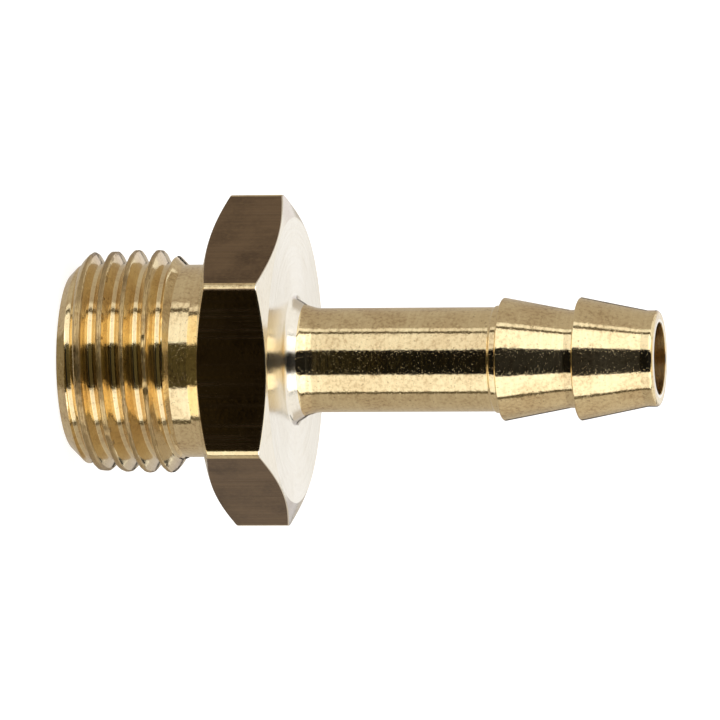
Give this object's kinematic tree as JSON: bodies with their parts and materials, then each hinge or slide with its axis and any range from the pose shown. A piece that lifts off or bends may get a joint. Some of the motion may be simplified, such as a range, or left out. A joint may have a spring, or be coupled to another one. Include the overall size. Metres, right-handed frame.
{
  "type": "hose barb tail",
  "caption": "Straight turned brass hose tail: parallel male pipe thread, spanner hexagon and a barbed stem for a push-on hose, bored right through.",
  "frame": {"origin": "centre of the bore on the flat end of the thread, on which the part stands", "axes": "+Z along the bore from the thread to the hose end; two flats of the hexagon face +Y and -Y"},
  "size_m": [0.0194, 0.017, 0.0348],
  "materials": {
    "brass": "turned, satin to bright"
  },
  "bodies": {
    "root": {"hose_barb_tail": "brass"}
  },
  "joints": []
}
